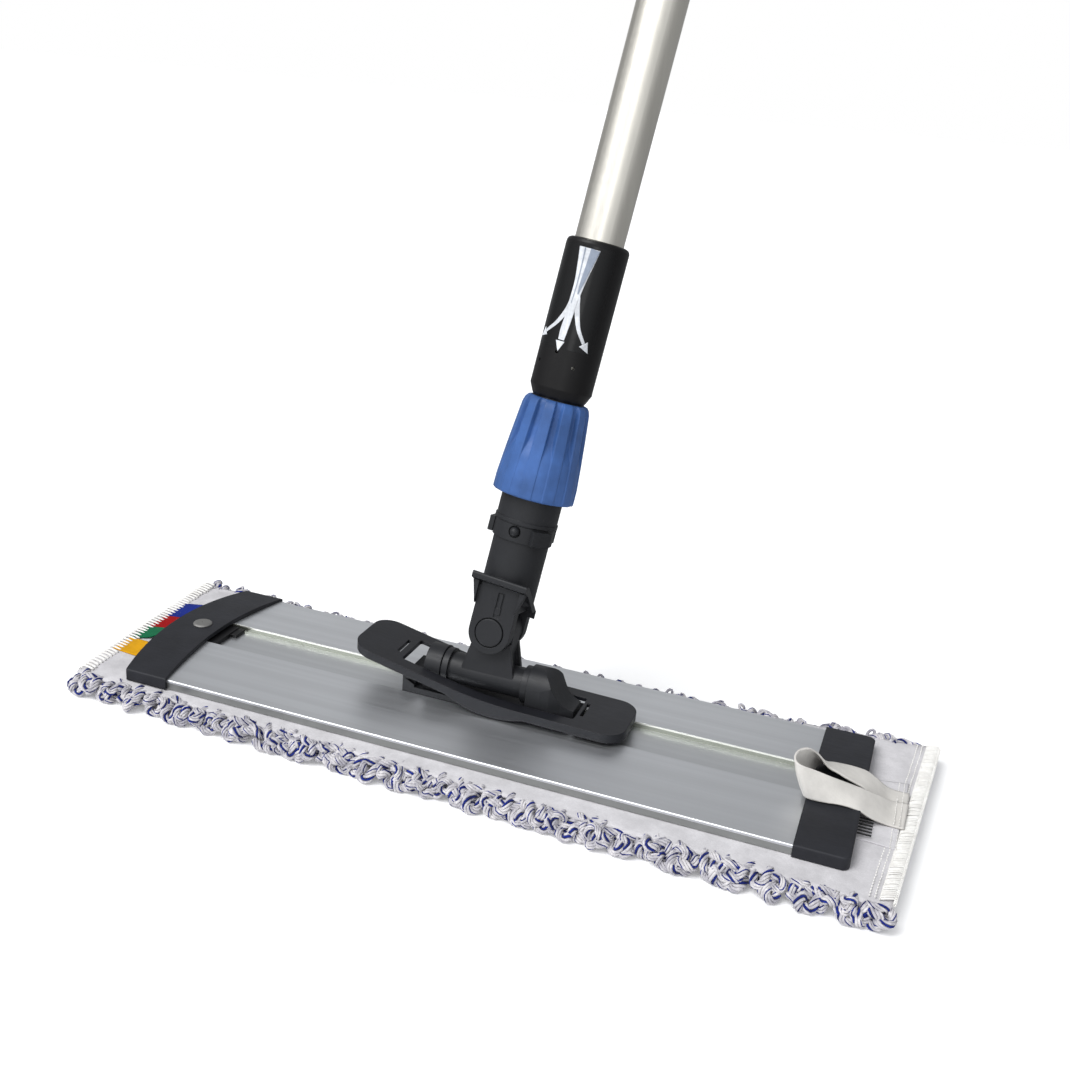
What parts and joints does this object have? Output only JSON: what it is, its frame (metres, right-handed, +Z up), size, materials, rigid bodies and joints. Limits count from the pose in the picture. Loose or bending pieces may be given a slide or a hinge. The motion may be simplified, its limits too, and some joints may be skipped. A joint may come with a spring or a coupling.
{
  "type": "flat mop",
  "caption": "Flat mop: loop-pile cloth clipped to an aluminium head, rocking pedal plate, two-axis tilting joint, ribbed clamp collar and a long dosing handle.",
  "frame": {"origin": "on the floor under the middle of the aluminium head", "axes": "+X along the head towards the pull loop, +Y towards the rear, where the pole leans, +Z up"},
  "size_m": [0.47, 0.39, 1.2847],
  "materials": {
    "aluminium_profile": "satin anodised, drawn lines along the length",
    "anodised_tube": "matte anodised tube",
    "anthracite_plastic": "fine matt moulded",
    "pedal_plastic": "fine matt moulded, edges polished by wear",
    "joint_plastic": "satin glass-filled moulded",
    "black_plastic": "matt moulded",
    "black_sleeve": "satin moulded",
    "label_film": null,
    "blue_plastic": "satin moulded",
    "rivet_steel": "dull zinc",
    "zinc_steel": "plain zinc plated",
    "white_cloth": "flat microfibre felt",
    "mop_yarn": "twisted loop yarn, off-white with blue strands",
    "hem_thread": "overlock stitching",
    "blue_cloth": "woven tape",
    "red_cloth": "woven tape",
    "green_cloth": "woven tape",
    "yellow_cloth": "woven tape",
    "white_elastic": "ribbed woven elastic",
    "grip_rubber": "soft matt grip"
  },
  "bodies": {
    "head": {"plate_extrusion": "aluminium_profile", "right_end_cap": "anthracite_plastic", "left_end_cap": "anthracite_plastic", "left_cap_rivet": "rivet_steel", "left_clamp_jaw": "black_plastic", "right_clamp_comb": "black_plastic", "mop_backing": "white_cloth", "mop_pile": "mop_yarn", "hem_left": "hem_thread", "hem_right": "hem_thread", "tab_blue": "blue_cloth", "tab_red": "red_cloth", "tab_green": "green_cloth", "tab_yellow": "yellow_cloth", "loop_anchor_band": "white_cloth", "pull_loop": "white_elastic", "foot_base": "joint_plastic", "foot_screws": "zinc_steel", "barrel_axle": "zinc_steel", "axle_end_plug": "joint_plastic", "rocker_pins": "zinc_steel"},
    "pedal": {"pedal_rocker": "pedal_plastic"},
    "knuckle": {"cross_barrel": "joint_plastic"},
    "socket": {"fork_socket": "joint_plastic", "fork_pin": "zinc_steel", "fork_pin_cap_front": "joint_plastic", "fork_pin_cap_rear": "joint_plastic", "fork_pin_latch": "joint_plastic", "bayonet_ring": "joint_plastic", "coupler_body": "joint_plastic", "clamp_collet": "black_plastic", "lock_leaf_spring": "zinc_steel"},
    "collar": {"clamp_collar": "blue_plastic"},
    "button": {"lock_button": "joint_plastic"},
    "handle": {"handle_tube": "anodised_tube", "bottom_plug": "black_plastic", "outlet_sleeve": "black_sleeve", "flow_label": "label_film", "valve_seat": "black_plastic", "rod_guide": "black_plastic", "handle_grip": "grip_rubber", "end_cap": "anthracite_plastic"},
    "valve": {"valve_plunger": "grip_rubber", "control_rod": "black_plastic", "dosing_button": "blue_plastic", "return_spring": "zinc_steel"}
  },
  "joints": [
    {"name": "pedal_rock", "type": "hinge", "parent": "head", "child": "pedal", "pos_m": [-0.0037, 0, 0.0214], "axis": [0, 1, 0], "range_deg": [-5, 0]},
    {"name": "fore_aft_tilt", "type": "hinge", "parent": "head", "child": "knuckle", "pos_m": [-0.0053, 0, 0.034], "axis": [1, 0, 0], "range_deg": [-42.28, 67.72]},
    {"name": "side_tilt", "type": "hinge", "parent": "knuckle", "child": "socket", "pos_m": [-0.0053, 0.00592, 0.06024], "axis": [0, 0.9755, -0.2202], "range_deg": [-56.1, 43.9]},
    {"name": "collar_turn", "type": "hinge", "parent": "socket", "child": "collar", "pos_m": [-0.0053, 0.00592, 0.06024], "axis": [0.1063, 0.2189, 0.9699], "range_deg": [0, 120]},
    {"name": "lock_button_press", "type": "slide", "parent": "socket", "child": "button", "axis": [0, 0.9755, -0.2202], "range_m": [0, 0.0025], "stiffness_N_per_m": 300, "springref_m": -0.002},
    {"name": "handle_pull_out", "type": "slide", "parent": "socket", "child": "handle", "axis": [0.1063, 0.2189, 0.9699], "range_m": [0, 0.03]},
    {"name": "dosing_button_press", "type": "slide", "parent": "handle", "child": "valve", "axis": [-0.1063, -0.2189, -0.9699], "range_m": [0, 0.006], "stiffness_N_per_m": 400, "springref_m": -0.004}
  ]
}
